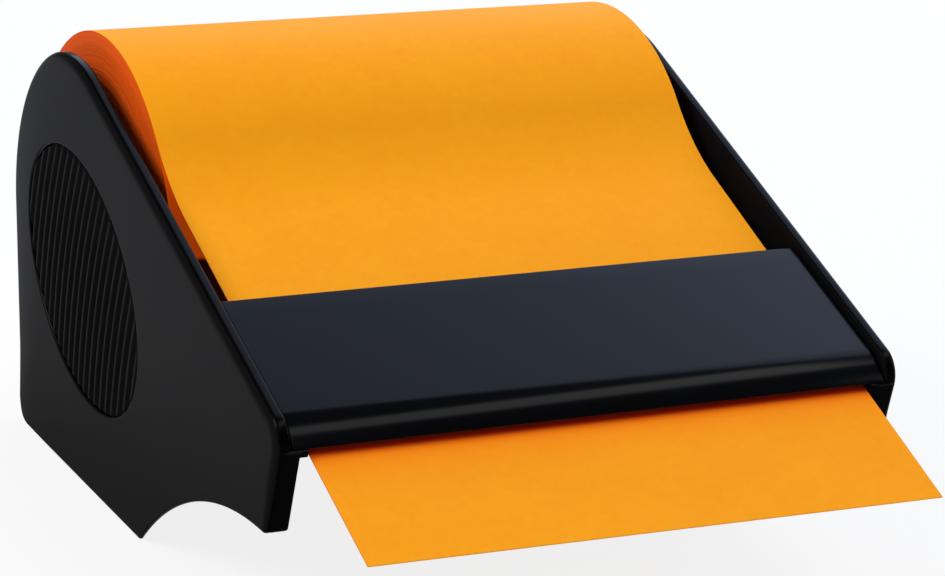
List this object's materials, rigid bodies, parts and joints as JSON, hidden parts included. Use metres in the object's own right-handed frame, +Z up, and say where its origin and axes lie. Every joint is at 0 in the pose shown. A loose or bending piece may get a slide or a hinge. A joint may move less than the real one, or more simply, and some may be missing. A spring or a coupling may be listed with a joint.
{
  "type": "sticky note roll dispenser",
  "caption": "Desk dispenser with ribbed cheeks that hold a roll of sticky note paper and feed its free end out under a sloping front bar.",
  "frame": {"origin": "on the table, straight below the roll's axis, halfway between the cheeks", "axes": "+X to the right seen from the front, +Y to the back, +Z up"},
  "size_m": [0.067, 0.0949, 0.0475],
  "materials": {
    "cheek_plastic": "semi-matt black moulding",
    "grip_rubber": "matt black, ribbed",
    "bar_plastic": "semi-matt blue-black moulding",
    "hub_plastic": "semi-matt dark grey moulding",
    "core_board": "plain brown board",
    "roll_paper": "edge of the wound orange paper",
    "note_paper": "plain bright orange paper"
  },
  "bodies": {
    "frame": {"left_cheek": "cheek_plastic", "right_cheek": "cheek_plastic", "left_grip_pad": "grip_rubber", "right_grip_pad": "grip_rubber", "tear_bar": "bar_plastic", "guide_plate": "cheek_plastic", "base_tie": "cheek_plastic", "paper_span": "note_paper"},
    "roll": {"left_hub": "hub_plastic", "right_hub": "hub_plastic", "roll_core": "core_board", "paper_roll": "roll_paper"},
    "note": {"paper_lead": "note_paper"}
  },
  "joints": [
    {"name": "roll_spin", "type": "hinge", "parent": "frame", "child": "roll", "pos_m": [0, 0, 0.025], "axis": [1, 0, 0], "range_deg": [0, 90]},
    {"name": "note_pull", "type": "slide", "parent": "frame", "child": "note", "axis": [0, -0.9265, -0.3762], "range_m": [0, 0.0355]}
  ],
  "couplings": [
    {"joint": "note_pull", "follows": "roll_spin", "m_per_rad": 0.0224}
  ]
}
